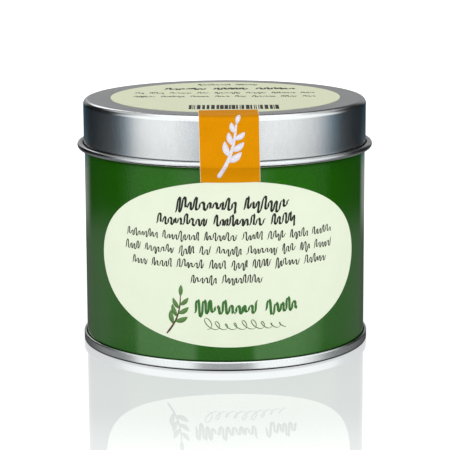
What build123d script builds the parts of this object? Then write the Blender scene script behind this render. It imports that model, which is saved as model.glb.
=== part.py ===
from build123d import *
from math import cos, pi, sin
import os

# A round slip-lid spice tin. A rolled tinplate body is double seamed to a recessed bottom end and
# closed by a drawn lid with a false-wire bead. It carries two paper labels and a paper seal.
# Origin at the centre of the base, +Z up, front label facing -Y. Millimetres.

# Driving dimensions
BODY_DIAMETER = 82.0
TIN_HEIGHT = 71.5
BODY_PLATE = 0.22
LID_PLATE = 0.17
PAPER = 0.10
LID_CLEARANCE = 0.04
SKIRT_DEPTH = 14.2
HAIR_GAP = 0.02

# Double seam round the bottom
SEAM_HEIGHT = 2.7
SEAM_GAP = 0.08
SEAM_FOOT_RADIUS = 0.45
HOOK_RADIUS = 0.40
HOOK_LENGTH = 1.6
COMPOUND_ROOM = 0.20
COMPOUND_WIDTH = 0.48

# Bottom end inside the seam
COUNTERSINK = 3.9
COUNTERSINK_RADIUS = 0.8
PANEL_RECESS = 3.2
PANEL_FLAT_RADIUS = 35.5
PANEL_STEP_WIDTH = 1.0
PANEL_FOLD_RADIUS = 0.6
CHUCK_WALL_GAP = 0.05
CHUCK_WALL_TAPER = 0.25

# Rolled edges
RIM_CURL_RADIUS = 1.1
RIM_CURL_END = 0.3
BEAD_PROJECTION = 1.85
BEAD_HEIGHT = 1.6
BEAD_ROLL_RADIUS = 0.70
BEAD_NECK_RADIUS = 0.6
BEAD_TUCK_GAP = 0.25
BEAD_TUCK_DEPTH = 0.7
BEAD_TUCK_RADIUS = 0.35
LID_CORNER_RADIUS = 1.55

# Lock seam up the back of the body
LOCK_WIDTH = 3.2
LOCK_THICKNESS = 0.50
LOCK_BITE = 0.05
LOCK_STOPS_SHORT = 1.5
LOCK_LINE_WIDTH = 0.30
LOCK_LINE_DEPTH = 0.12

# Paper
OVAL_WIDTH = 85.3
OVAL_HEIGHT = 46.8
OVAL_OFFSET = 1.65
OVAL_CENTRE_HEIGHT = 30.1
OVAL_CUT_SPARE = 5.0
LID_LABEL_DIAMETER = 66.8
LID_LABEL_CENTRE = (0.2, 0.3)
SEAL_WIDTH = 16.3
SEAL_OFFSET = 1.2
SEAL_REACH_ON_LID = 29.7
SEAL_LOW_END = 53.2
SEAL_LABEL_LAP = 0.2
SEAL_LABEL_RAMP = 0.4
SEAL_SKIRT_END = 1.0
SEAL_BEAD_SHOULDER = 0.69
SEAL_BEAD_TUCK = 0.83
SEAL_WALL_TUCK = 1.3
SEAL_WALL_DROP = 1.2
SEAL_LID_FOLDS = [0.5, 0.3, 0.6, 0.7]
SEAL_WALL_FOLDS = [0.4, 1.0]
SLIT = 0.04

# Worked out from those
body_radius = BODY_DIAMETER / 2
body_bore = body_radius - BODY_PLATE
lid_bore = body_radius + LID_CLEARANCE
lid_radius = lid_bore + LID_PLATE
lid_underside = TIN_HEIGHT - LID_PLATE
bead_bottom = TIN_HEIGHT - SKIRT_DEPTH
bead_top = bead_bottom + BEAD_HEIGHT
bead_radius = lid_radius + BEAD_PROJECTION
seam_radius = body_radius + 3 * (BODY_PLATE + SEAM_GAP)
body_hook_radius = seam_radius - BODY_PLATE - SEAM_GAP
cover_hook_radius = body_radius + SEAM_GAP
chuck_wall_radius = body_bore - BODY_PLATE - CHUCK_WALL_GAP
body_foot = BODY_PLATE + COMPOUND_ROOM
label_top = OVAL_CENTRE_HEIGHT + OVAL_HEIGHT / 2

# The lid's inner corner rests on the rim curl, which is tangent to it with a sliding gap
corner_bore = LID_CORNER_RADIUS - LID_PLATE
rim_top = lid_underside - corner_bore + RIM_CURL_RADIUS


def moved_left(points, radii, distance):
    """The path of a sheet's other face: every corner moved square to the sheet, with its radius."""
    path = [Vector(*point) for point in points]
    headings = [(there - here).normalized() for here, there in zip(path, path[1:])]
    arriving = headings[:1] + headings
    leaving = headings + headings[-1:]
    corners = []
    for corner, before, after in zip(path, arriving, leaving):
        across = Vector(-before.Y - after.Y, before.X + after.X)
        corners.append(corner + across * (distance / (1 + before.dot(after))))
    rounds = []
    for radius, before, after in zip(radii, headings, headings[1:]):
        turns_left = before.cross(after).Z > 0
        change = -distance if turns_left else distance
        rounds.append(radius + change if radius else 0)
    return corners, rounds


def pressed_sheet(points, radii, thickness):
    """A ring of sheet: its section follows points (r, z), filleted at each corner between the two
    ends, and the sheet lies on its left."""
    far_points, far_radii = moved_left(points, radii, thickness)
    with BuildPart() as ring:
        with BuildSketch(Plane.XZ):
            with BuildLine():
                near = FilletPolyline(*points, radius=radii)
                far = FilletPolyline(*far_points, radius=far_radii)
                Line(near @ 0, far @ 0)
                Line(near @ 1, far @ 1)
            make_face()
        revolve(axis=Axis.Z)
    return ring.part


def ring_sector(inner, outer, low, high, width):
    """An upright strip of a ring at the back of the tin, as wide as given."""
    ring = Pos(0, 0, (low + high) / 2) * (
        Cylinder(outer, high - low) - Cylinder(inner, high - low)
    )
    return ring & Pos(0, outer, (low + high) / 2) * Box(width, outer, high - low)


def make_body_shell():
    """Rolled wall with a curled rim, a body hook at the foot and a lock seam at the back."""
    curl_bore = RIM_CURL_RADIUS - BODY_PLATE
    curl_inside = body_bore - 2 * curl_bore - HAIR_GAP
    curl_top = rim_top - BODY_PLATE
    curl_low = curl_top - 2 * curl_bore - HAIR_GAP
    section = [
        (body_bore - RIM_CURL_END, curl_low),
        (curl_inside, curl_low),
        (curl_inside, curl_top),
        (body_bore, curl_top),
        (body_bore, body_foot),
        (body_hook_radius, body_foot),
        (body_hook_radius, body_foot + HOOK_LENGTH),
    ]
    radii = [curl_bore, curl_bore, curl_bore, HOOK_RADIUS, HOOK_RADIUS]
    wall = pressed_sheet(section, radii, BODY_PLATE)
    low = COUNTERSINK + 2 * BODY_PLATE
    high = curl_low - LOCK_STOPS_SHORT
    lock = ring_sector(body_bore - LOCK_THICKNESS, body_bore + LOCK_BITE, low, high, LOCK_WIDTH)
    line = ring_sector(
        body_radius - LOCK_LINE_DEPTH, body_radius + 1, low, high, LOCK_LINE_WIDTH
    )
    return wall + lock - line


def make_bottom_end():
    """Recessed end: panel, countersink, chuck wall, seaming panel and cover hook in one sheet."""
    section = [
        (0, PANEL_RECESS),
        (PANEL_FLAT_RADIUS, PANEL_RECESS),
        (PANEL_FLAT_RADIUS + PANEL_STEP_WIDTH, COUNTERSINK),
        (chuck_wall_radius - CHUCK_WALL_TAPER, COUNTERSINK),
        (chuck_wall_radius, 0),
        (seam_radius, 0),
        (seam_radius, SEAM_HEIGHT),
        (cover_hook_radius, SEAM_HEIGHT),
        (cover_hook_radius, SEAM_HEIGHT - HOOK_LENGTH),
    ]
    panel_folds = [PANEL_FOLD_RADIUS, PANEL_FOLD_RADIUS, COUNTERSINK_RADIUS]
    seam_folds = [SEAM_FOOT_RADIUS, SEAM_FOOT_RADIUS, HOOK_RADIUS, HOOK_RADIUS]
    radii = panel_folds + seam_folds
    return pressed_sheet(section, radii, BODY_PLATE)


def make_seam_compound():
    """The sealing ring that is squeezed between the body hook and the seaming panel."""
    low = BODY_PLATE + HAIR_GAP
    high = body_foot - HAIR_GAP
    inner = (body_bore + body_hook_radius - COMPOUND_WIDTH) / 2
    ring = Cylinder(inner + COMPOUND_WIDTH, high - low) - Cylinder(inner, high - low)
    return Pos(0, 0, (low + high) / 2) * ring


def make_lid_shell():
    """Drawn lid: flat top, straight skirt, and its lower edge rolled outwards into a hollow bead."""
    tuck = lid_radius + BEAD_TUCK_GAP
    section = [
        (0, lid_underside),
        (lid_bore, lid_underside),
        (lid_bore, bead_bottom),
        (bead_radius, bead_bottom),
        (bead_radius, bead_top),
        (tuck, bead_top),
        (tuck, bead_top - BEAD_TUCK_DEPTH),
    ]
    rolls = [BEAD_NECK_RADIUS, BEAD_ROLL_RADIUS, BEAD_ROLL_RADIUS, BEAD_TUCK_RADIUS]
    radii = [corner_bore] + rolls
    return pressed_sheet(section, radii, LID_PLATE)


def oval_on_wall(width, height, offset_round, centre_height):
    """Prism whose cut through the body wall is an ellipse when the wall is rolled flat."""
    outline = []
    steps = 32
    for step in range(steps):
        turn = 2 * pi * step / steps
        along = offset_round + width / 2 * cos(turn)
        outline.append(
            (body_radius * sin(along / body_radius), centre_height + height / 2 * sin(turn))
        )
    with BuildPart() as prism:
        with BuildSketch(Plane.XZ):
            with BuildLine():
                Spline(*outline, periodic=True)
            make_face()
        extrude(amount=body_radius + OVAL_CUT_SPARE)
    return prism.part


def make_front_label():
    """Oval paper label glued round the front of the body."""
    skin = Cylinder(body_radius + PAPER, TIN_HEIGHT) - Cylinder(body_radius, TIN_HEIGHT)
    skin = Pos(0, 0, TIN_HEIGHT / 2) * skin
    return skin & oval_on_wall(OVAL_WIDTH, OVAL_HEIGHT, OVAL_OFFSET, OVAL_CENTRE_HEIGHT)


def make_lid_label():
    """Round paper label on the flat of the lid."""
    x, y = LID_LABEL_CENTRE
    return Pos(x, y, TIN_HEIGHT + PAPER / 2) * Cylinder(LID_LABEL_DIAMETER / 2, PAPER)


def seal_strip(points, radii):
    """The front strip of a paper skin, SEAL_WIDTH across and straight sided seen from the front."""
    skin = pressed_sheet(points, radii, PAPER)
    depth = 2 * body_radius
    cutter = Pos(SEAL_OFFSET, -SEAL_REACH_ON_LID - depth / 2, TIN_HEIGHT / 2) * Box(
        SEAL_WIDTH, depth, 2 * TIN_HEIGHT
    )
    return skin & cutter


def make_seal_lid_part():
    """Seal over the lid label, the lid's corner, the skirt and the bead, down to the slit."""
    label_edge = LID_LABEL_DIAMETER / 2 - LID_LABEL_CENTRE[1] + SEAL_LABEL_LAP
    over_bead = bead_radius + HAIR_GAP
    above_bead = bead_top + 2 * HAIR_GAP
    under_bead = bead_bottom - HAIR_GAP
    points = [
        (SEAL_REACH_ON_LID - 1, TIN_HEIGHT + PAPER),
        (label_edge, TIN_HEIGHT + PAPER),
        (label_edge + SEAL_LABEL_RAMP, TIN_HEIGHT),
        (lid_radius, TIN_HEIGHT),
        (lid_radius, bead_top + SEAL_SKIRT_END),
        (over_bead - SEAL_BEAD_SHOULDER - 2 * HAIR_GAP, above_bead),
        (over_bead, above_bead),
        (over_bead, under_bead),
        (over_bead - SEAL_BEAD_TUCK - HAIR_GAP, under_bead),
    ]
    radii = [0, 0, LID_CORNER_RADIUS] + SEAL_LID_FOLDS
    return seal_strip(points, radii)


def make_seal_body_part():
    """Seal from the slit under the bead, in to the wall and down onto the front label's top edge."""
    under_bead = bead_bottom - HAIR_GAP - PAPER - SLIT
    points = [
        (bead_radius - SEAL_BEAD_TUCK, under_bead),
        (bead_radius - SEAL_WALL_TUCK, under_bead),
        (body_radius, under_bead - SEAL_WALL_DROP),
        (body_radius, label_top + SEAL_LABEL_LAP + PAPER),
        (body_radius + PAPER, label_top + PAPER),
        (body_radius + PAPER, SEAL_LOW_END),
    ]
    radii = SEAL_WALL_FOLDS + [0, 0]
    return seal_strip(points, radii)


subparts = {
    "body_shell": make_body_shell,
    "bottom_end": make_bottom_end,
    "seam_compound": make_seam_compound,
    "lid_shell": make_lid_shell,
    "front_label": make_front_label,
    "lid_label": make_lid_label,
    "seal_lid_part": make_seal_lid_part,
    "seal_body_part": make_seal_body_part,
}

os.makedirs("parts", exist_ok=True)
for node, make in subparts.items():
    export_step(make(), f"parts/{node}.step")
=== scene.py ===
import random
from math import atan2, cos, hypot, pi, radians, sin, sqrt

import bmesh
import bpy
from mathutils import Matrix, Vector


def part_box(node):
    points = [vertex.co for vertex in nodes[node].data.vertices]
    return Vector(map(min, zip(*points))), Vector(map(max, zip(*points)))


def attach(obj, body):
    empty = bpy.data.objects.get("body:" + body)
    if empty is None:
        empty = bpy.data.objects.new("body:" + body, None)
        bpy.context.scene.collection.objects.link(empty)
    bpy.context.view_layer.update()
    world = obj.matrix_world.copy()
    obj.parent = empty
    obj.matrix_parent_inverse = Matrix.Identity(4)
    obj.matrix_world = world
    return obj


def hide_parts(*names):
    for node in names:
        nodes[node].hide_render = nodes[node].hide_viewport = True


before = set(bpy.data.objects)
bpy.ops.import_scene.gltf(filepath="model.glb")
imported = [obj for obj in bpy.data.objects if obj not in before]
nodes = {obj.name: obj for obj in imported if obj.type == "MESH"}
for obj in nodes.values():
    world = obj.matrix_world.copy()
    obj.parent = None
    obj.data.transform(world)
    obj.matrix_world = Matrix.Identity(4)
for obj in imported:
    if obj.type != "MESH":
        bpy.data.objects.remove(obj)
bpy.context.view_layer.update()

# The looks of a slip-lid spice tin: bare tinplate lid and foot, green lacquered wall, cream paper
# labels with generic print, and an orange paper seal. Metres, +Z up, the front label faces -Y.

MM = 0.001


def widest(node, low, high):
    """The largest radius that a CAD node has between two heights."""
    corners = [vertex.co for vertex in nodes[node].data.vertices]
    return max(hypot(co.x, co.y) for co in corners if low <= co.z <= high)


def highest(node, beyond):
    """The top of what a CAD node has further out than a radius."""
    corners = [vertex.co for vertex in nodes[node].data.vertices]
    return max(co.z for co in corners if hypot(co.x, co.y) > beyond)


# Places read from the frame
lid_low, lid_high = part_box("lid_shell")
lid_top = lid_high.z
bead_low = lid_low.z
bead_radius = lid_high.x
skirt_radius = widest("lid_shell", (lid_top + bead_low) / 2, lid_top)
bead_high = highest("lid_shell", (skirt_radius + bead_radius) / 2)
lid_paper_low, lid_paper_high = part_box("lid_label")
lid_paper_top = lid_paper_high.z
lid_paper_radius = (lid_paper_high.x - lid_paper_low.x) / 2
label_radius = -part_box("front_label")[0].y
paper = lid_paper_top - lid_top
body_radius = label_radius - paper
seal_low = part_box("seal_body_part")[0].z
seam_top = highest("bottom_end", body_radius)

# Sizes of the pieces made here
LID_CORNER = 1.55 * MM
INK = 0.02 * MM
INK_LIFT = 0.03 * MM
PRINT_MARGIN = 0.10 * MM
FLOOR_HALF = 2.0

# How the turned pieces are made: points this close are one, extra points stand this far from the
# ends of a flat stretch, and an edge that bends more than this shades sharp
SAME_PLACE = 0.001 * MM
SUPPORT = 0.15 * MM
TURN_STEPS = 360
SHARP_BEND = radians(50)

# Greeked writing: the chances that a turn of the pen is tall, hangs low or ends in a lift, the gap
# between words and the pitch of the turns by the line's height, and the thinnest line by the nib
SEED = 7
TALL_CHANCE = 0.24
TAIL_CHANCE = 0.12
LIFT_CHANCE = 0.34
WORD_GAP = 0.95
TURN_PITCH = 0.41
HAIRLINE = 0.30
NIB_ANGLE = radians(44)
FLOURISH_ANGLE = radians(40)

# Steps along one stroke, one loop of the flourish and one leaf
STROKE_STEPS = 8
LOOP_STEPS = 26
LEAF_STEPS = 12

# Colours, linear
TIN = (0.76, 0.79, 0.80, 1)
GREEN = (0.0145, 0.120, 0.0015, 1)
CREAM = (0.80, 0.865, 0.68, 1)
# Painted shade: the lid label's cream is the front label's cream made darker for the lid's upturned
# top
SHADED_LID_CREAM = (0.645, 0.68, 0.48, 1)
ORANGE = (0.71, 0.27, 0.0004, 1)
PAPER_CORE = (0.86, 0.80, 0.66, 1)
DARK_INK = (0.010, 0.012, 0.007, 1)
BLACK_INK = (0.010, 0.010, 0.009, 1)
GREEN_INK = (0.035, 0.160, 0.022, 1)
SCRAWL_INK = (0.10, 0.17, 0.06, 1)
BROWN_INK = (0.090, 0.040, 0.022, 1)
LEAF_INK = (0.10, 0.22, 0.055, 1)
WHITE_INK = (0.76, 0.73, 0.80, 1)
RUBBER = (0.035, 0.033, 0.030, 1)
FLAG_BLUE = (0.30, 1.05, 1.65, 1)
TABLE_GLOW = (0.975, 1.0, 1.01, 1)
WHITE = (1, 1, 1, 1)
CAMERA_WHITE = (1.02, 1.02, 1.02, 1)
MIRRORED_WHITE = (1.38, 1.38, 1.38, 1)

# Painted shade and painted shadow: the share of its brightness that a finish keeps where shade falls
CREVICE_PAINTED_SHADE = 0.16
SKIRT_PAINTED_SHADE = 0.90
FOOT_PAINTED_SHADOW = 0.22
SEAM_PAINTED_SHADE = 0.15
UNDER_BEAD_PAINTED_SHADOW = 0.40
FOLD_PAINTED_SHADE = 0.84
TUCK_PAINTED_SHADE = 0.93


# ---------------------------------------------------------------- shader nodes


class Graph:
    """Adds and links the nodes of one node tree with short calls."""

    def __init__(self, tree):
        self.tree = tree

    def feed(self, socket, value):
        if isinstance(value, bpy.types.NodeSocket):
            self.tree.links.new(value, socket)
        else:
            socket.default_value = value

    def node(self, kind, inputs=None, **settings):
        made = self.tree.nodes.new("ShaderNode" + kind)
        for name, value in settings.items():
            setattr(made, name, value)
        for name, value in (inputs or {}).items():
            self.feed(made.inputs[name], value)
        return made

    def math(self, operation, a, b=0.0, clamp=False):
        return self.node("Math", {0: a, 1: b}, operation=operation, use_clamp=clamp).outputs[0]

    def mix(self, share, a, b):
        """A colour between two."""
        return self.node("Mix", {0: share, 6: a, 7: b}, data_type="RGBA").outputs[2]

    def blend(self, share, a, b):
        """A number between two."""
        return self.node("Mix", {0: share, 2: a, 3: b}).outputs[0]

    def darken(self, tone, clear, kept):
        """A tone that falls to a share of itself where clear falls to 0."""
        return self.math("MULTIPLY", tone, self.blend(clear, kept, 1.0))

    def step(self, value, low, high):
        """0 below low, 1 above high, and smooth between them."""
        made = self.node("MapRange", {0: value, 1: low, 2: high}, interpolation_type="SMOOTHSTEP")
        return made.outputs[0]

    def spread(self, value, low, high):
        """A noise, which runs from 0 to 1 about a half, set between two values."""
        return self.node("MapRange", {0: value, 1: 0.25, 2: 0.75, 3: low, 4: high}).outputs[0]

    def here(self):
        """The point in the row frame."""
        return self.node("TexCoord").outputs["Object"]

    def round_place(self):
        """Distance round the wall, height and radius of the point."""
        x, y, z = self.node("SeparateXYZ", {0: self.here()}).outputs
        squares = self.math("ADD", self.math("POWER", x, 2), self.math("POWER", y, 2))
        radius = self.math("SQRT", squares)
        turn = self.math("ARCTAN2", x, self.math("MULTIPLY", y, -1.0))
        return self.math("MULTIPLY", turn, body_radius), z, radius

    def vector(self, x, y, z):
        return self.node("CombineXYZ", {0: x, 1: y, 2: z}).outputs[0]

    def noise(self, vector, grain, detail=2.0, roughness=0.5):
        """Noise whose grains are as long as given, in metres: one length, or one for each axis."""
        lengths = grain if isinstance(grain, tuple) else (grain,) * 3
        scale = tuple(1 / length for length in lengths)
        scaled = self.node("VectorMath", {0: vector, 1: scale}, operation="MULTIPLY").outputs[0]
        inputs = {"Vector": scaled, "Scale": 1.0, "Detail": detail, "Roughness": roughness}
        return self.node("TexNoise", inputs).outputs[0]

    def scaled(self, colour, share):
        """A colour made lighter or darker by a share."""
        inputs = {0: colour if isinstance(colour, bpy.types.NodeSocket) else colour[:3], 3: share}
        return self.node("VectorMath", inputs, operation="SCALE").outputs[0]

    def bump(self, height, depth, strength=1.0, normal=None):
        inputs = {"Height": height, "Distance": depth, "Strength": strength}
        if normal:
            inputs["Normal"] = normal
        return self.node("Bump", inputs).outputs[0]


def new_material(name, **constants):
    """A material with one Principled shader, its constant values set on the shader's sockets."""
    made = bpy.data.materials.new(name)
    made.use_nodes = True
    made.node_tree.nodes.clear()
    graph = Graph(made.node_tree)
    shader = graph.node("BsdfPrincipled")
    for socket, value in constants.items():
        shader.inputs[socket.replace("_", " ")].default_value = value
    graph.node("OutputMaterial", {0: shader.outputs[0]})
    return made, graph, shader


def tinplate(name, flat_radius, roughness):
    """Rolled tinplate: a linear grain on flat ends, drawn to an upright grain on the walls. Painted
    shade darkens it in the crevice over the lid's bead and makes the lid a little darker toward
    its bead, and a painted shadow darkens the edge that the tin stands on."""
    made, g, shader = new_material(name, Metallic=1.0, Anisotropic=0.30)
    here = g.here()
    along, height, radius = g.round_place()
    wall_grain = g.noise(g.vector(along, 0.0, height), (0.14 * MM, 1, 5 * MM), 3.0, 0.6)
    flat_grain = g.noise(here, (11 * MM, 0.14 * MM, 1), 3.0, 0.6)
    on_wall = g.step(radius, flat_radius - 0.3 * MM, flat_radius + 0.3 * MM)
    grain = g.blend(on_wall, flat_grain, wall_grain)
    cloud = g.noise(here, (9 * MM, 9 * MM, 14 * MM), 2.0)
    speck = g.noise(here, 0.45 * MM, 3.0, 0.7)
    shade = g.math("ADD", g.spread(grain, 0.94, 1.04), g.spread(cloud, -0.03, 0.02))
    shade = g.math("ADD", shade, g.spread(speck, -0.06, 0.06))
    # Painted shade in the crevice over the bead and on the lid toward its bead, and a painted shadow
    # at the edge that the tin stands on
    off_skirt = g.step(radius, skirt_radius + 0.28 * MM, skirt_radius + 0.50 * MM)
    above_crevice = g.step(height, bead_high + 0.05 * MM, bead_high + 0.36 * MM)
    below_bead = g.math("LESS_THAN", height, bead_low + 0.5 * MM)
    clear_of_crevice_shade = g.math("MAXIMUM", g.math("MAXIMUM", off_skirt, above_crevice), below_bead)
    up_skirt = g.step(height, bead_high, bead_high + 9 * MM)
    off_lid = g.math("LESS_THAN", height, bead_low - MM)
    clear_of_foot_shadow = g.step(height, 0.38 * MM, 0.75 * MM)
    shade = g.darken(shade, clear_of_crevice_shade, CREVICE_PAINTED_SHADE)
    shade = g.darken(shade, g.math("MAXIMUM", up_skirt, off_lid), SKIRT_PAINTED_SHADE)
    shade = g.darken(shade, clear_of_foot_shadow, FOOT_PAINTED_SHADOW)
    g.feed(shader.inputs["Base Color"], g.scaled(TIN, shade))
    uneven = g.spread(grain, roughness - 0.03, roughness + 0.03)
    g.feed(shader.inputs["Roughness"], g.math("ADD", uneven, g.spread(speck, -0.02, 0.02)))
    g.feed(shader.inputs["Tangent"], g.node("Tangent", direction_type="RADIAL", axis="Z").outputs[0])
    waves = g.bump(cloud, 0.020 * MM)
    g.feed(shader.inputs["Normal"], g.bump(grain, 0.0012 * MM, 0.6, waves))
    return made


def lacquered_tinplate(name):
    """Green lacquer over the outside of the wall, with painted shade where the seam closes on it and
    a painted shadow just under the lid's bead, both without the coat; the inside and the rolled rim
    stay bare."""
    made, g, shader = new_material(
        name, Coat_Roughness=0.04, Coat_IOR=1.5, Specular_IOR_Level=0.0
    )
    here = g.here()
    along, height, radius = g.round_place()
    outside = g.step(radius, body_radius - 0.17 * MM, body_radius - 0.13 * MM)
    clear_of_seam_shade = g.step(height, seam_top - 0.10 * MM, seam_top + 0.50 * MM)
    grain = g.noise(g.vector(along, 0.0, height), (0.10 * MM, 1, 7 * MM), 3.0, 0.6)
    orange_peel = g.noise(here, 0.62 * MM, 2.0, 0.6)
    cloud = g.noise(here, (12 * MM, 12 * MM, 18 * MM), 2.0)
    tone = g.math("ADD", g.spread(cloud, 0.95, 1.05), g.spread(orange_peel, -0.16, 0.16))
    below_bead = g.step(height, bead_low - 0.1 * MM, bead_low - 1.3 * MM)
    above_bead = g.step(height, bead_low + 0.1 * MM, bead_low + 0.6 * MM)
    clear_of_bead_shadow = g.math("MAXIMUM", below_bead, above_bead)
    # Painted shade where the seam closes on the wall and a painted shadow just under the lid's bead;
    # the coat is left off there too
    tone = g.darken(tone, clear_of_seam_shade, SEAM_PAINTED_SHADE)
    tone = g.darken(tone, clear_of_bead_shadow, UNDER_BEAD_PAINTED_SHADOW)
    bare = g.scaled(TIN, g.spread(grain, 0.92, 1.04))
    g.feed(shader.inputs["Base Color"], g.mix(outside, bare, g.scaled(GREEN, tone)))
    g.feed(shader.inputs["Metallic"], g.blend(outside, 1.0, 0.45))
    unshaded = g.math("MINIMUM", clear_of_seam_shade, clear_of_bead_shadow)
    g.feed(shader.inputs["Coat Weight"], g.math("MULTIPLY", outside, unshaded))
    g.feed(shader.inputs["Roughness"], g.blend(outside, g.spread(grain, 0.27, 0.34), 0.22))
    waves = g.bump(cloud, 0.012 * MM)
    g.feed(shader.inputs["Normal"], g.bump(orange_peel, 0.0015 * MM, 0.5, waves))
    return made


def label_paper(name, colour):
    """Uncoated label paper: short fibres, faint clouding and a fine tooth."""
    made, g, shader = new_material(name, Specular_IOR_Level=0.35)
    here = g.here()
    fibres = g.noise(here, (0.9 * MM, 0.35 * MM, 0.25 * MM), 4.0, 0.65)
    cloud = g.noise(here, 6 * MM, 3.0)
    tooth = g.noise(here, 0.16 * MM, 2.0, 0.6)
    tone = g.math("ADD", g.spread(fibres, 0.972, 1.012), g.spread(cloud, -0.014, 0.014))
    g.feed(shader.inputs["Base Color"], g.scaled(colour, tone))
    g.feed(shader.inputs["Roughness"], g.spread(fibres, 0.52, 0.66))
    fibre_bump = g.bump(fibres, 0.010 * MM, 0.4)
    g.feed(shader.inputs["Normal"], g.bump(tooth, 0.006 * MM, 0.5, fibre_bump))
    return made


def seal_paper(name):
    """Orange printed paper: solid ink that is slightly mottled over the paper's fibres, with painted
    shade where it folds over the lid's corner and where it goes in under the bead."""
    made, g, shader = new_material(name, Specular_IOR_Level=0.02)
    here = g.here()
    mottle = g.noise(here, 0.55 * MM, 4.0, 0.7)
    cloud = g.noise(here, 5 * MM, 2.0)
    tone = g.math("ADD", g.spread(mottle, 0.93, 1.05), g.spread(cloud, -0.03, 0.03))
    _, height, _ = g.round_place()
    # Painted shade where the seal folds over onto the lid and where it goes in under the bead
    folded_over = g.step(height, lid_top - 0.65 * MM, lid_top - 0.15 * MM)
    under_bead = g.step(height, bead_low + 0.5 * MM, bead_low - 0.4 * MM)
    tone = g.math("MULTIPLY", tone, g.blend(folded_over, 1.0, FOLD_PAINTED_SHADE))
    tone = g.math("MULTIPLY", tone, g.blend(under_bead, 1.0, TUCK_PAINTED_SHADE))
    g.feed(shader.inputs["Base Color"], g.scaled(ORANGE, tone))
    g.feed(shader.inputs["Roughness"], g.spread(mottle, 0.42, 0.55))
    g.feed(shader.inputs["Normal"], g.bump(mottle, 0.010 * MM, 0.5))
    return made


def ink(name, colour, roughness=0.45):
    """Printing ink, a little thin where the paper's fibres stand up."""
    made, g, shader = new_material(name, Specular_IOR_Level=0.4)
    here = g.here()
    fibres = g.noise(here, 0.30 * MM, 3.0, 0.6)
    g.feed(shader.inputs["Base Color"], g.scaled(colour, g.spread(fibres, 0.80, 1.25)))
    g.feed(shader.inputs["Roughness"], g.spread(fibres, roughness - 0.05, roughness + 0.08))
    g.feed(shader.inputs["Normal"], g.bump(fibres, 0.004 * MM, 0.4))
    return made


def sealing_rubber(name):
    """Dull dark rubber with a fine grain."""
    made, g, shader = new_material(name, Specular_IOR_Level=0.4)
    here = g.here()
    grain = g.noise(here, 0.4 * MM, 3.0, 0.6)
    g.feed(shader.inputs["Base Color"], g.scaled(RUBBER, g.spread(grain, 0.85, 1.15)))
    g.feed(shader.inputs["Roughness"], g.spread(grain, 0.55, 0.7))
    g.feed(shader.inputs["Normal"], g.bump(grain, 0.02 * MM, 0.5))
    return made


# ---------------------------------------------------------------- finishes on the CAD nodes


def finish_node(node, made):
    """Gives a CAD node its material, and nothing else about it changes."""
    slots = nodes[node].data.materials
    slots.clear()
    slots.append(made)


finish_node("body_shell", lacquered_tinplate("green_lacquer"))
finish_node("front_label", label_paper("front_label_paper", CREAM))
finish_node("lid_label", label_paper("lid_label_paper", SHADED_LID_CREAM))
finish_node("seam_compound", sealing_rubber("sealing_rubber"))


# ---------------------------------------------------------------- meshes


def new_piece(name, points, faces, materials, body):
    """A mesh piece in the row frame that rides on a CAD body."""
    mesh = bpy.data.meshes.new(name)
    mesh.from_pydata([tuple(point) for point in points], [], faces)
    for made in materials:
        mesh.materials.append(made)
    mesh.polygons.foreach_set("use_smooth", [True] * len(faces))
    piece = bpy.data.objects.new(name, mesh)
    bpy.context.scene.collection.objects.link(piece)
    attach(piece, body)
    return piece


def thicken(piece, thickness):
    """Gives an open surface its thickness, inwards from the face that shows."""
    solid = piece.modifiers.new("thickness", "SOLIDIFY")
    solid.thickness = thickness
    solid.offset = -1


def section(node):
    """The section of a turned CAD node from axis to axis, from the mesh edges in its seam's half
    plane: radius and height of each point."""
    mesh = nodes[node].data
    linked = {}
    for edge in mesh.edges:
        ends = [mesh.vertices[index].co for index in edge.vertices]
        if all(co.x > 0 and abs(co.y) < SAME_PLACE for co in ends):
            one, other = ((round(co.x / SAME_PLACE), round(co.z / SAME_PLACE)) for co in ends)
            if one != other:
                linked.setdefault(one, set()).add(other)
                linked.setdefault(other, set()).add(one)
    path = [min(point for point, others in linked.items() if len(others) == 1)]
    ahead = linked[path[0]]
    while ahead:
        path.append(min(ahead))
        ahead = linked[path[-1]] - set(path[-2:])
    path = [(0, path[0][1]), *path, (0, path[-1][1])]
    return [(radius * SAME_PLACE, height * SAME_PLACE) for radius, height in path]


def with_supports(path):
    """A section with two more points on each long flat stretch, so that it shades flat."""
    full = [path[0]]
    for (ra, za), (rb, zb) in zip(path, path[1:]):
        length = hypot(rb - ra, zb - za)
        if length > 2 * SUPPORT:
            for share in (SUPPORT / length, 1 - SUPPORT / length):
                full.append((ra + (rb - ra) * share, za + (zb - za) * share))
        full.append((rb, zb))
    return full


def turned_piece(node, body, made):
    """A finely turned copy of a CAD node that is round about the tin's axis."""
    path = with_supports(section(node))[1:-1]
    points = [(0, 0, path[0][1]), (0, 0, path[-1][1])]
    for step in range(TURN_STEPS):
        turn = 2 * pi * step / TURN_STEPS
        points += [(radius * cos(turn), radius * sin(turn), height) for radius, height in path]
    rows = len(path)
    faces = []
    for step in range(TURN_STEPS):
        here = 2 + step * rows
        there = 2 + (step + 1) % TURN_STEPS * rows
        faces.append((0, there, here))
        faces.append((1, here + rows - 1, there + rows - 1))
        for row in range(rows - 1):
            faces.append((here + row, there + row, there + row + 1, here + row + 1))
    piece = new_piece(f"turned_{node}", points, faces, [made], body)
    shape = bmesh.new()
    shape.from_mesh(piece.data)
    bmesh.ops.recalc_face_normals(shape, faces=shape.faces)
    shape.to_mesh(piece.data)
    shape.free()
    piece.data.set_sharp_from_angle(angle=SHARP_BEND)
    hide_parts(node)


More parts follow.
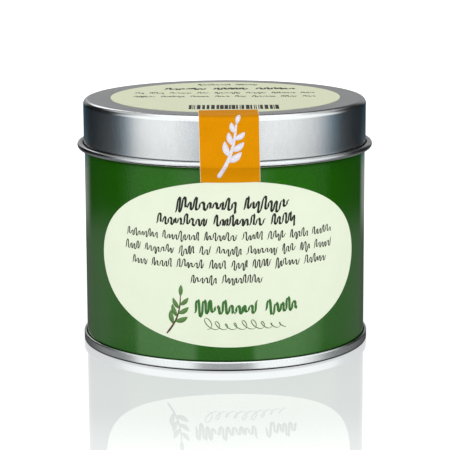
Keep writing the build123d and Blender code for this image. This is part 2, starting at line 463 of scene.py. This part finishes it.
def band(path, half_widths):
    """Both edges of a stroke along a flat path."""
    edges = []
    last = len(path) - 1
    for i, ((x, y), half) in enumerate(zip(path, half_widths)):
        ahead = path[min(i + 1, last)]
        behind = path[max(i - 1, 0)]
        length = hypot(ahead[0] - behind[0], ahead[1] - behind[1])
        nx = -(ahead[1] - behind[1]) / length * half
        ny = (ahead[0] - behind[0]) / length * half
        edges.append(((x + nx, y + ny), (x - nx, y - ny)))
    return edges


def pen_stroke(path, nib, angle, hairline):
    """A stroke of a flat nib held at an angle: broad across the nib and thin along it."""
    halves = []
    last = len(path) - 1
    for i in range(len(path)):
        ahead = path[min(i + 1, last)]
        behind = path[max(i - 1, 0)]
        heading = atan2(ahead[1] - behind[1], ahead[0] - behind[0])
        reach = nib / 2 * abs(sin(heading - angle))
        halves.append(max(reach, hairline / 2))
    return band(path, halves)


def print_on(name, strokes, surface, made, body):
    """Ink on a surface: each stroke's edges are laid on it as one strip of faces."""
    points = []
    faces = []
    for edges in strokes:
        start = len(points)
        for left, right in edges:
            points += [surface(*left, INK_LIFT), surface(*right, INK_LIFT)]
        for i in range(len(edges) - 1):
            a = start + 2 * i
            faces.append((a, a + 1, a + 3, a + 2))
    thicken(new_piece(name, points, faces, [made], body), INK)


def on_front(along, height, lift):
    """A point on the front label, by its distance round the wall to the viewer's right."""
    turn = along / body_radius
    radius = label_radius + lift
    return Vector((radius * sin(turn), -radius * cos(turn), height))


def on_lid(x, y, lift):
    """A point on the lid's label."""
    return Vector((x, y, lid_paper_top + lift))


lid_finish = tinplate("lid_tinplate", skirt_radius - LID_CORNER, 0.21)
turned_piece("lid_shell", "lid", lid_finish)
end_finish = tinplate("end_tinplate", body_radius - 3 * MM, 0.22)
turned_piece("bottom_end", "tin", end_finish)


# ---------------------------------------------------------------- greeked print


def scribble(rng, start, length, height, pitch, lean):
    """Strokes that stand for one printed word and make no letters: a wave that runs along the line,
    with a few taller and lower turns, and the pen lifted now and then."""
    x0, y0 = start
    count = max(3, round(length / pitch))
    widths = [rng.choice((0.7, 0.9, 1.1, 1.3)) for _ in range(count)]
    x = 0
    turns = []
    for k in range(count + 1):
        up = k % 2 == 1
        y = height * rng.choice((0.88, 0.95, 1.0)) if up else height * rng.choice((0.0, 0.0, 0.22))
        if up and (k == 1 or rng.random() < TALL_CHANCE):
            y = height * rng.uniform(1.45, 1.65)
        if not up and rng.random() < TAIL_CHANCE:
            y = -height * rng.uniform(0.35, 0.5)
        turns.append((x, y))
        x += length * widths[min(k, count - 1)] / sum(widths)
    strokes = []
    path = []
    for k in range(count):
        (xa, ya), (xb, yb) = turns[k], turns[k + 1]
        roundness = rng.uniform(0.10, 0.20)
        for i in range(STROKE_STEPS + (k == count - 1)):
            t = i / STROKE_STEPS
            y = ya + (yb - ya) * (1 - cos(pi * t)) / 2
            x = xa + (xb - xa) * (t + roundness * sin(2 * pi * t))
            path.append((x0 + x + lean * y, y0 + y))
        if rng.random() < LIFT_CHANCE and k < count - 2:
            strokes.append(path)
            path = []
    strokes.append(path)
    return [stroke for stroke in strokes if len(stroke) > 2]


def word_lengths(rng, words, length, gap):
    """Uneven words that fill a line between them."""
    shares = [rng.uniform(0.45, 1.6) for _ in range(words)]
    room = length - gap * (words - 1)
    return [room * share / sum(shares) for share in shares]


def print_line(rng, left, right, base, height, words, nib, lean=0.0):
    """One greeked line, as nib strokes on the flat."""
    gap = height * WORD_GAP
    x = left
    strokes = []
    for length in word_lengths(rng, words, right - left, gap):
        for path in scribble(rng, (x, base), length, height, height * TURN_PITCH, lean):
            strokes.append(pen_stroke(path, nib, NIB_ANGLE, nib * HAIRLINE))
        x += length + gap
    return strokes


def bowed(base, tip, bow, steps):
    """A path from base to tip, bowed to its left by a share of its length."""
    dx, dy = tip[0] - base[0], tip[1] - base[1]
    path = []
    for i in range(steps + 1):
        t = i / steps
        side = bow * sin(pi * t)
        path.append((base[0] + dx * t - dy * side, base[1] + dy * t + dx * side))
    return path


def leaf(base, tip, width, bow=0.0):
    """A leaf from base to tip, blunt at its base and pointed at its tip."""
    halves = []
    for i in range(LEAF_STEPS + 1):
        t = i / LEAF_STEPS
        halves.append(width / 2 * sin(pi * min(1, t * 0.97 + 0.03)) ** 0.8 + 0.01 * MM)
    return band(bowed(base, tip, bow, LEAF_STEPS), halves)


def curved_stem(base, tip, bow, thick, thin, steps=24):
    """A bowed stem that thins from its rounded base to its tip: its path and its two edges."""
    halves = []
    for i in range(steps + 1):
        round_end = sin(pi / 2 * min(1, (i + 1) / 4))
        halves.append((thick + (thin - thick) * i / steps) / 2 * round_end)
    path = bowed(base, tip, bow, steps)
    return path, band(path, halves)


def sprig(base, tip, bow, thick, leaves, leaf_length, leaf_width):
    """A generic sprig: one bowed stem with leaves by turns on either side and one at its tip."""
    first_leaf = 0.28
    leafy_share = 0.62
    splay = radians(42)
    path, stem = curved_stem(base, tip, bow, thick, thick * 0.45)
    drawn = []
    last = len(path) - 1
    for k in range(leaves):
        share = first_leaf + leafy_share * k / leaves
        i = round(share * last)
        x, y = path[i]
        ahead = path[min(i + 1, last)]
        heading = atan2(ahead[1] - y, ahead[0] - x)
        side = 1 if k % 2 == 0 else -1
        turn = heading + side * splay
        reach = leaf_length * (1.05 - 0.35 * share)
        end = (x + reach * cos(turn), y + reach * sin(turn))
        drawn.append(leaf((x, y), end, leaf_width * (1.05 - 0.3 * share), 0.08 * side))
    heading = atan2(path[-1][1] - path[-2][1], path[-1][0] - path[-2][0])
    x, y = path[-1]
    end = (x + leaf_length * 0.75 * cos(heading), y + leaf_length * 0.75 * sin(heading))
    drawn.append(leaf((x, y), end, leaf_width * 0.8))
    return stem, drawn


def flourish(left, right, base, height, turns):
    """A thin pen flourish: leaning loops that die away to the right."""
    steps = LOOP_STEPS * turns
    path = []
    for i in range(steps + 1):
        t = i / steps
        swing = 2 * pi * turns * t
        size = height * (0.55 + 0.45 * cos(pi * t * 1.7) ** 2) * (1 - 0.35 * t)
        x = left + (right - left) * t + size * 0.42 * sin(swing) + size * 0.25 * cos(swing)
        path.append((x, base + size * 0.5 * (1 - cos(swing))))
    return path


rng = random.Random(SEED)
dark_ink = ink("dark_ink", DARK_INK)
black_ink = ink("black_ink", BLACK_INK)
green_ink = ink("green_ink", GREEN_INK)
scrawl_ink = ink("scrawl_ink", SCRAWL_INK)
brown_ink = ink("brown_ink", BROWN_INK)
leaf_ink = ink("leaf_ink", LEAF_INK)
white_ink = ink("white_ink", WHITE_INK, 0.5)


def in_mm(*values):
    return [value * MM for value in values]


# Left, right and base of the line, height of its low strokes, words, nib, lean. Lengths are in
# millimetres, along the wall and up from the table
FRONT_LINES = {
    "front_heading": (-13.8, 17.9, 45.6, 2.1, 2, 0.90, 0.16),
    "front_subheading": (-19.7, 20.1, 41.2, 1.85, 3, 0.78, 0.12),
    "front_text_1": (-29.9, 33.0, 37.0, 1.45, 7, 0.46, 0.10),
    "front_text_2": (-30.6, 33.0, 33.1, 1.45, 9, 0.46, 0.10),
    "front_text_3": (-28.0, 31.0, 29.2, 1.45, 8, 0.46, 0.10),
    "front_text_4": (-9.7, 10.4, 25.0, 1.45, 2, 0.46, 0.10),
}
for name, (left, right, base, height, words, nib, lean) in FRONT_LINES.items():
    strokes = print_line(rng, *in_mm(left, right, base, height), words, nib * MM, lean)
    print_on(name, strokes, on_front, dark_ink, "tin")

strokes = print_line(rng, *in_mm(-8.6, 20.9, 16.4, 2.3), 2, 0.95 * MM)
print_on("front_green_line", strokes, on_front, green_ink, "tin")
path = flourish(*in_mm(-5.9, 17.0, 11.8, 3.4), 9)
stroke = pen_stroke(path, 0.26 * MM, FLOURISH_ANGLE, 0.10 * MM)
print_on("front_flourish", [stroke], on_front, scrawl_ink, "tin")

stem, leaves = sprig(in_mm(-16.8, 10.0), in_mm(-12.6, 21.0), -0.10, 0.60 * MM, 6, 4.3 * MM, 1.5 * MM)
print_on("front_sprig_stem", [stem], on_front, brown_ink, "tin")
print_on("front_sprig_leaves", leaves, on_front, leaf_ink, "tin")

# Left, right and base of the line, height, words, nib. Lengths are in millimetres, on the lid
LID_LINES = {
    "lid_text_1": (-8, 10, 26.2, 1.5, 2, 0.60),
    "lid_text_2": (-18, 21, 16.0, 2.3, 3, 1.05),
    "lid_text_3": (-26.5, 26.5, 6.8, 1.7, 8, 0.55),
    "lid_text_4": (-26.5, 26.5, -1.2, 1.7, 8, 0.55),
}
for name, (left, right, base, height, words, nib) in LID_LINES.items():
    strokes = print_line(rng, *in_mm(left, right, base, height), words, nib * MM)
    print_on(name, strokes, on_lid, dark_ink, "lid")


def stripes(rng, left, right, low, high, thin):
    """Upright bars of uneven width and spacing."""
    bars = []
    x = left
    while x < right:
        width = thin * rng.choice((1, 2, 3, 4))
        middle = x + width / 2
        bars.append(band([(middle, low), (middle, high)], [width / 2] * 2))
        x += width + thin * rng.choice((1, 1, 2))
    return bars


bars = stripes(rng, *in_mm(-10, 15, -27.4, -19, 0.25))
print_on("lid_bars", bars, on_lid, black_ink, "lid")


# ---------------------------------------------------------------- paper seal

# The seal's edges: at its upper end, at its lower end, and how far out its upper end is
SEAL_LEFT = -7.3 * MM
SEAL_RIGHT = 9.25 * MM
SEAL_LEFT_LOW = -6.7 * MM
SEAL_RIGHT_LOW = 9.75 * MM
SEAL_END_LEFT = -30.3 * MM
SEAL_END_RIGHT = -29.1 * MM
# Heights: where it leaves the skirt, is furthest out over the bead, is slit, and meets the wall
SEAL_LEAVES_SKIRT = lid_top - 4.6 * MM
SEAL_CREST = bead_low + 0.55 * MM
SLIT_HIGH = bead_low - 0.11 * MM
SLIT_LOW = bead_low - 0.115 * MM
SEAL_LANDING = seal_low + 0.5 * MM
# How it lies: columns of faces across its ink, the width of its step up onto the lid's label and
# how far it presses into it, its stand-off over the bead by the paper, and how late it falls
SEAL_COLUMNS = 28
LABEL_STEP = 0.4 * MM
PRESSED_IN = 0.01 * MM
ON_BEAD = 0.65
FALL_POWER = 1.35
seal_corner = LID_CORNER + paper
corner_start = skirt_radius - LID_CORNER
corner_z = lid_top - LID_CORNER
flat_length = corner_start + SEAL_END_LEFT
corner_length = seal_corner * pi / 2


def seal_radius(height):
    """How far out the seal stands at a height: on the skirt, then bridging out to the bead, then
    leaning back in to the wall below it."""
    on_skirt = skirt_radius + paper
    on_bead = bead_radius + paper * ON_BEAD
    on_wall = body_radius + paper * 2
    if height > SEAL_CREST:
        t = min(1, max(0, (SEAL_LEAVES_SKIRT - height) / (SEAL_LEAVES_SKIRT - SEAL_CREST)))
        return on_skirt + (on_bead - on_skirt) * t * t * (3 - 2 * t)
    t = min(1, max(0, (SEAL_CREST - height) / (SEAL_CREST - SEAL_LANDING)))
    fallen = t ** FALL_POWER * (1 + FALL_POWER - FALL_POWER * t)
    return on_bead + (on_wall - on_bead) * fallen


def on_seal(across, down, lift):
    """A point of the seal: across it in x, and down it from its upper edge on the lid."""
    if down < flat_length:
        t = down / flat_length
        slant = (SEAL_END_RIGHT - SEAL_END_LEFT) / (SEAL_RIGHT - SEAL_LEFT)
        end = SEAL_END_LEFT + slant * (across - SEAL_LEFT)
        y = end + (-sqrt(corner_start**2 - across**2) - end) * t
        edge = sqrt(lid_paper_radius**2 - across**2)
        on_label = min(1, max(0, (edge + LABEL_STEP + y) / LABEL_STEP))
        return Vector((across, y, lid_top + paper + on_label * (paper - PRESSED_IN) + lift))
    if down < flat_length + corner_length:
        a = (down - flat_length) / seal_corner
        radius = corner_start + (seal_corner + lift) * sin(a)
        height = corner_z + (seal_corner + lift) * cos(a)
        return Vector((across, -sqrt(radius**2 - across**2), height))
    height = corner_z - (down - flat_length - corner_length)
    radius = seal_radius(height) + lift
    return Vector((across, -sqrt(radius**2 - across**2), height))


def down_at(height):
    """How far down the seal a height on its wall part is."""
    return flat_length + corner_length + corner_z - height


def seal_piece(name, first, last, rows, node, body, materials):
    """One part of the seal, with a margin of bare paper along its two cut edges."""
    total = down_at(seal_low)
    points = []
    for row in range(rows + 1):
        down = first + (last - first) * row / rows
        share = down / total
        left = SEAL_LEFT + (SEAL_LEFT_LOW - SEAL_LEFT) * share
        right = SEAL_RIGHT + (SEAL_RIGHT_LOW - SEAL_RIGHT) * share
        inked = right - left - 2 * PRINT_MARGIN
        inner = [left + PRINT_MARGIN + inked * k / SEAL_COLUMNS for k in range(SEAL_COLUMNS + 1)]
        for across in [left, *inner, right]:
            points.append(on_seal(across, down, 0))
    wide = SEAL_COLUMNS + 3
    faces = []
    for row in range(rows):
        for k in range(wide - 1):
            a = row * wide + k
            faces.append((a, a + wide, a + wide + 1, a + 1))
    piece = new_piece(name, points, faces, materials, body)
    for index, face in enumerate(piece.data.polygons):
        if index % (wide - 1) in (0, wide - 2):
            face.material_index = 1
    thicken(piece, paper * 0.9)
    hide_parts(node)


papers = [seal_paper("seal_orange"), label_paper("seal_core", PAPER_CORE)]
seal_piece("lid_seal", 0, down_at(SLIT_HIGH), 96, "seal_lid_part", "lid", papers)
seal_piece("body_seal", down_at(SLIT_LOW), down_at(seal_low), 24, "seal_body_part", "tin", papers)


def seal_sprig():
    """A white sprig down the seal, as long as the seal's face, in the seal's own coordinates."""
    base = (-1.8 * MM, down_at(seal_low + 1.4 * MM))
    tip = (3.2 * MM, 12.6 * MM)
    leaves = 6
    first_leaf = 0.34
    leafy_share = 0.60
    splay = radians(38)
    path, stem = curved_stem(base, tip, 0.07, 1.25 * MM, 0.55 * MM, 96)
    drawn = [stem]
    last = len(path) - 1
    for k in range(leaves):
        share = first_leaf + leafy_share * k / leaves
        x, y = path[round(share * last)]
        side = 1 if k % 2 == 0 else -1
        heading = atan2(tip[1] - base[1], tip[0] - base[0]) + side * splay
        reach = (5.4 - 2.6 * share) * MM
        end = (x + reach * cos(heading), y + reach * sin(heading))
        drawn.append(leaf((x, y), end, (2.1 - 0.8 * share) * MM, 0.1 * side))
    end = (tip[0] + 0.9 * MM, tip[1] - 3.2 * MM)
    drawn.append(leaf(tip, end, 1.3 * MM))
    return drawn


def crossing(side, limit):
    """The point of a stroke's edge at a distance down the seal, or None if it doesn't get there."""
    for here, there in zip(side, side[1:]):
        if (here[1] < limit) != (there[1] < limit):
            share = (limit - here[1]) / (there[1] - here[1])
            return (here[0] + (there[0] - here[0]) * share, limit)
    return None


def split_at(strokes, limit):
    """The strokes' stretches above and below a distance down the seal, cut off square at it."""
    upper = []
    lower = []
    for edges in strokes:
        cuts = [crossing(side, limit) for side in zip(*edges)]
        if None in cuts:
            kept = upper if edges[0][0][1] < limit else lower
            kept.append(edges)
            continue
        for kept, above in ((upper, True), (lower, False)):
            held = []
            for pair in edges:
                ends = tuple(
                    point if (point[1] < limit) == above else cut
                    for point, cut in zip(pair, cuts)
                )
                if not held or ends != held[-1]:
                    held.append(ends)
            kept.append(held)
    return upper, lower


upper, lower = split_at(seal_sprig(), down_at((SLIT_LOW + SLIT_HIGH) / 2))
print_on("lid_seal_sprig", upper, on_seal, white_ink, "lid")
print_on("body_seal_sprig", lower, on_seal, white_ink, "tin")


# ---------------------------------------------------------------- floor, light and camera


def make_floor():
    """A pale, glossy table top that glows as a light table does, with a painted shadow round the tin:
    its glow is dimmer near the tin and brighter further out.
    """
    made, g, shader = new_material(
        "table_top", Roughness=0.0, IOR=1.5, Emission_Color=TABLE_GLOW
    )
    cloud = g.noise(g.here(), 30 * MM)
    tone = g.spread(cloud, 0.13, 0.14)
    g.feed(shader.inputs["Base Color"], g.vector(tone, tone, tone))
    _, _, radius = g.round_place()
    # Painted shadow: the glow is dimmer near the tin
    clear_of_tin_shadow = g.step(radius, 80 * MM, 130 * MM)
    g.feed(shader.inputs["Emission Strength"], g.blend(clear_of_tin_shadow, 0.60, 0.74))
    signs = ((-1, -1), (1, -1), (1, 1), (-1, 1))
    corners = [(FLOOR_HALF * x, FLOOR_HALF * y, 0) for x, y in signs]
    mesh = bpy.data.meshes.new("floor")
    mesh.from_pydata(corners, [], [(0, 1, 2, 3)])
    mesh.materials.append(made)
    floor = bpy.data.objects.new("floor", mesh)
    bpy.context.scene.collection.objects.link(floor)
    floor.visible_glossy = False


# Brightness of the studio by degrees round from the camera's side to the viewer's right: below the
# horizon from the far table to the near table, which polished walls show, and above the horizon
FAR_TABLE = (
    (-180, 0.14), (-160, 0.06), (-150, 0.012), (-106, 0.012), (-95, 0.03), (-86, 0.22), (-75, 0.86),
    (-62, 1.24), (-42, 1.20), (-30, 0.66), (28, 0.85), (36, 1.22), (52, 1.16), (66, 1.00),
    (76, 0.82), (86, 0.56), (98, 0.13), (108, 0.012), (152, 0.012), (162, 0.05), (180, 0.14),
)
MIDDLE_TABLE = (
    (-180, 0.36), (-151, 0.30), (-143, 0.01), (-98, 0.01), (-88, 0.14), (-80, 0.40), (-46, 0.40),
    (-30, 0.82), (28, 0.78), (36, 0.30), (46, 0.10), (52, 0.15), (88, 0.15), (97, 0.01), (146, 0.01),
    (153, 0.40), (180, 0.36),
)
NEAR_TABLE = (
    (-180, 0.12), (-160, 0.10), (-138, 0.18), (-112, 0.40), (-92, 0.44), (-80, 0.55), (-75, 1.30),
    (-26, 1.58), (-21, 0.56), (21, 0.56), (25, 1.58), (60, 1.50), (78, 1.05), (90, 0.46),
    (104, 0.36), (138, 0.18), (160, 0.08), (180, 0.12),
)
SKY = (
    (-180, 0.33), (-158, 0.33), (-150, 0.0), (-100, 0.0), (-86, 0.9), (-72, 1.3), (70, 1.3),
    (98, 1.0), (110, 0.02), (150, 0.0), (158, 0.33), (180, 0.33),
)

# Boxes of light: direction, half width and softness in degrees, brightness
OVERHEAD_BOX = ((0, 0, 1), 36, 5, 1.45)
BACK_BOX = ((-0.28, 0.84, 0.47), 9, 3, 1.8)

# Brightness of the even tent that paper sees, at its side and its top, of the high sky, and of the
# table right below on the camera's side and at the back; and the share of the sky a flag takes
TENT_SIDE = 1.42
TENT_TOP = 0.82
HIGH_SKY = 0.62
UNDER_FRONT = 0.03
UNDER_BACK = 0.20
FLAG_DEPTH = 0.95


def ramp(g, value, stops):
    """Brightness by a value from 0 to 1, straight between its stops."""
    made = g.node("ValToRGB", {0: value})
    elements = made.color_ramp.elements
    while len(elements) > 1:
        elements.remove(elements[-1])
    for index, (place, level) in enumerate(stops):
        element = elements[0] if index == 0 else elements.new(place)
        element.position = place
        element.color = (level, level, level, 1)
    return made.outputs[0]


def make_studio():
    """A soft white tent: even light on paper and floor, with dark flags that polished metal shows."""
    world = bpy.data.worlds.new("studio")
    bpy.context.scene.world = world
    world.use_nodes = True
    world.node_tree.nodes.clear()
    g = Graph(world.node_tree)
    direction = g.node("TexCoord").outputs["Generated"]
    x, y, z = g.node("SeparateXYZ", {0: direction}).outputs
    turn = g.math("ARCTAN2", x, g.math("MULTIPLY", y, -1.0))
    share = g.math("ADD", g.math("DIVIDE", turn, 2 * pi), 0.5)
    far, middle, near, sky = (
        ramp(g, share, [(degrees / 360 + 0.5, level) for degrees, level in levels])
        for levels in (FAR_TABLE, MIDDLE_TABLE, NEAR_TABLE, SKY)
    )

    def above(low, high):
        return g.step(z, sin(radians(low)), sin(radians(high)))

    def around(toward, wide, soft, brightness):
        """A box of light about a direction, with a soft edge."""
        unit = Vector(toward).normalized()
        facing = g.node("VectorMath", {0: direction, 1: unit}, operation="DOT_PRODUCT")
        edge = g.step(facing.outputs["Value"], cos(radians(wide + soft)), cos(radians(wide - soft)))
        return g.math("MULTIPLY", edge, brightness)

    # The sky, with a dark flag high up behind the tin
    sky = g.math("MAXIMUM", sky, g.math("MULTIPLY", above(28, 40), HIGH_SKY))
    behind = g.step(y, cos(radians(62)), cos(radians(40)))
    flag = g.math("MULTIPLY", behind, above(16, 21))
    sky = g.math("MULTIPLY", sky, g.math("SUBTRACT", 1.0, g.math("MULTIPLY", flag, FLAG_DEPTH)))
    # The table from far to near, the near part deeper at its lower end, and dim right below
    skirt_height = above(-9.6, -8.5)
    table = g.blend(skirt_height, middle, far)
    table = g.blend(above(-11.6, -10.3), near, table)
    deeper = g.math("MULTIPLY", g.math("POWER", table, 1.35), 0.80)
    table = g.blend(above(-14.7, -14.2), deeper, table)
    round_back = g.step(g.math("ABSOLUTE", turn), radians(80), radians(105))
    under = g.blend(round_back, UNDER_FRONT, UNDER_BACK)
    table = g.blend(above(-25, -17), under, table)
    seen = g.blend(above(-3, 0), table, sky)
    seen = g.math("MAXIMUM", seen, around(*OVERHEAD_BOX))
    seen = g.math("MAXIMUM", seen, around(*BACK_BOX))
    tent = g.blend(above(30, 42), TENT_SIDE, TENT_TOP)
    # The darker the flags that satin metal and gloss show round the skirt, the bluer they are
    shade = g.math("SUBTRACT", 1.0, g.math("MULTIPLY", seen, 1.1, clamp=True))
    round_skirt = g.math("SUBTRACT", skirt_height, above(-3, 0))
    blue = g.math("MULTIPLY", g.math("POWER", shade, 2), round_skirt)
    pattern = g.scaled(g.mix(blue, WHITE, FLAG_BLUE), seen)
    # Paper sees an even tent, and the camera and the table's polish see plain white
    path = g.node("LightPath")
    shown = g.mix(path.outputs["Is Diffuse Ray"], pattern, g.vector(tent, tent, tent))
    shown = g.mix(path.outputs["Is Camera Ray"], shown, CAMERA_WHITE)
    shown = g.mix(path.outputs["Is Singular Ray"], shown, MIRRORED_WHITE)
    background = g.node("Background", {0: shown, 1: 1.0})
    g.node("OutputWorld", {0: background.outputs[0]})


# The camera's place, how far it looks down in degrees, and its roll in radians
CAMERA_PLACE = (0, -0.5824, 0.1475)
LOOK_DOWN = 11.09
ROLL = -0.004


def make_camera():
    """The camera looks down a little on the tin from the front, and is turned a hair off level."""
    data = bpy.data.cameras.new("camera")
    data.lens = 160.75
    data.sensor_width = 36
    data.clip_start = 0.01
    data.clip_end = 50
    camera = bpy.data.objects.new("camera", data)
    bpy.context.scene.collection.objects.link(camera)
    look_down = Matrix.Rotation(radians(90 - LOOK_DOWN), 4, "X")
    off_level = Matrix.Rotation(ROLL, 4, "Z")
    camera.matrix_world = Matrix.Translation(CAMERA_PLACE) @ look_down @ off_level
    bpy.context.scene.camera = camera


make_floor()
make_studio()
make_camera()
bpy.context.scene.view_settings.view_transform = "Standard"
